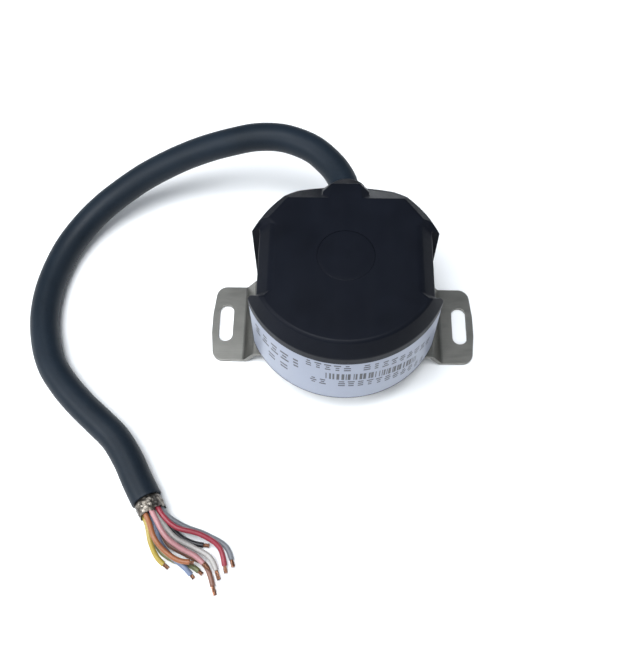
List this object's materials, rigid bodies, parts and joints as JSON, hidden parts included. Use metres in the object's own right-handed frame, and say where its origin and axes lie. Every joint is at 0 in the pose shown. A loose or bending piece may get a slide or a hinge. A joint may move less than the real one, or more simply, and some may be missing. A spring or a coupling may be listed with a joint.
{
  "type": "rotary encoder",
  "caption": "Hollow taper-shaft rotary encoder with a round black cover, a leaf-spring bracket with slotted ears and a free signal cable with stripped conductors.",
  "frame": {"origin": "on the shaft's axis, at the underside of the bracket's two ears", "axes": "+Z along the shaft's axis towards the cover's top, +X through the right ear's slot, +Y towards the cable outlet at the rear"},
  "size_m": [0.1061, 0.1071, 0.0322],
  "materials": {
    "black_plastic": "satin moulded black",
    "label_film": "silver-white film with dark printed bars",
    "rubber": "matte black",
    "cast_aluminium": "machined",
    "spring_steel": "rolled sheet, satin",
    "screw_steel": "zinc plated",
    "bearing_steel": "ground",
    "optical_glass": "clear, with a printed track",
    "dark_resin": "moulded epoxy",
    "board_green": "solder mask",
    "capacitor_case": "tantalum case",
    "connector_plastic": "natural nylon",
    "lead_cover": "flat ribbon",
    "cable_pvc": "matte slate PVC",
    "foil": "crumpled aluminium foil",
    "wire_grey_pvc": "thin coloured PVC insulation",
    "wire_red_pvc": "thin coloured PVC insulation",
    "wire_black_pvc": "thin coloured PVC insulation",
    "wire_white_pvc": "thin coloured PVC insulation",
    "wire_pink_pvc": "thin coloured PVC insulation",
    "wire_brown_pvc": "thin coloured PVC insulation",
    "wire_orange_pvc": "thin coloured PVC insulation",
    "wire_green_pvc": "thin coloured PVC insulation",
    "wire_yellow_pvc": "thin coloured PVC insulation",
    "wire_blue_pvc": "thin coloured PVC insulation"
  },
  "bodies": {
    "housing": {"cover": "black_plastic", "base": "cast_aluminium", "leaf_spring_bracket": "spring_steel", "base_gasket": "rubber", "access_plug": "black_plastic", "label": "label_film", "lower_bearing_outer_ring": "bearing_steel", "upper_bearing_outer_ring": "bearing_steel", "shaft_seal": "rubber", "led_carrier": "dark_resin", "led": "optical_glass", "reticle": "optical_glass", "photodetector": "dark_resin", "circuit_board": "board_green", "driver_chip": "dark_resin", "interface_chip": "dark_resin", "capacitor": "capacitor_case", "lead_header": "connector_plastic", "lead_ribbon": "lead_cover", "board_screw_1": "screw_steel", "board_screw_2": "screw_steel", "board_screw_3": "screw_steel", "board_screw_4": "screw_steel", "cover_screw_1": "screw_steel", "cover_screw_2": "screw_steel", "cover_screw_3": "screw_steel", "cover_screw_4": "screw_steel", "bracket_screw_1": "screw_steel", "bracket_screw_2": "screw_steel", "bracket_screw_3": "screw_steel", "bracket_screw_4": "screw_steel", "cable_crimp": "bearing_steel", "cable_boot": "rubber", "cable_jacket": "cable_pvc", "foil_shield": "foil", "wire_grey": "wire_grey_pvc", "wire_red": "wire_red_pvc", "wire_black": "wire_black_pvc", "wire_white": "wire_white_pvc", "wire_pink": "wire_pink_pvc", "wire_brown": "wire_brown_pvc", "wire_orange": "wire_orange_pvc", "wire_green": "wire_green_pvc", "wire_yellow": "wire_yellow_pvc", "wire_blue": "wire_blue_pvc"},
    "rotor": {"shaft": "bearing_steel", "lower_bearing_inner_ring": "bearing_steel", "upper_bearing_inner_ring": "bearing_steel", "bearing_spacer": "spring_steel", "retaining_ring": "spring_steel", "disc_hub": "cast_aluminium", "code_disc": "optical_glass", "disc_clamp": "cast_aluminium"},
    "lower_ball_set": {"lower_bearing_balls": "bearing_steel"},
    "upper_ball_set": {"upper_bearing_balls": "bearing_steel"}
  },
  "joints": [
    {"name": "shaft_spin", "type": "hinge", "parent": "housing", "child": "rotor", "pos_m": [0, 0, 0.012], "axis": [0, 0, 1], "continuous": true},
    {"name": "lower_balls_spin", "type": "hinge", "parent": "housing", "child": "lower_ball_set", "pos_m": [0, 0, 0.0086], "axis": [0, 0, 1], "continuous": true},
    {"name": "upper_balls_spin", "type": "hinge", "parent": "housing", "child": "upper_ball_set", "pos_m": [0, 0, 0.015], "axis": [0, 0, 1], "continuous": true}
  ],
  "couplings": [
    {"joint": "lower_balls_spin", "follows": "shaft_spin", "ratio": 0.44},
    {"joint": "upper_balls_spin", "follows": "shaft_spin", "ratio": 0.44}
  ]
}
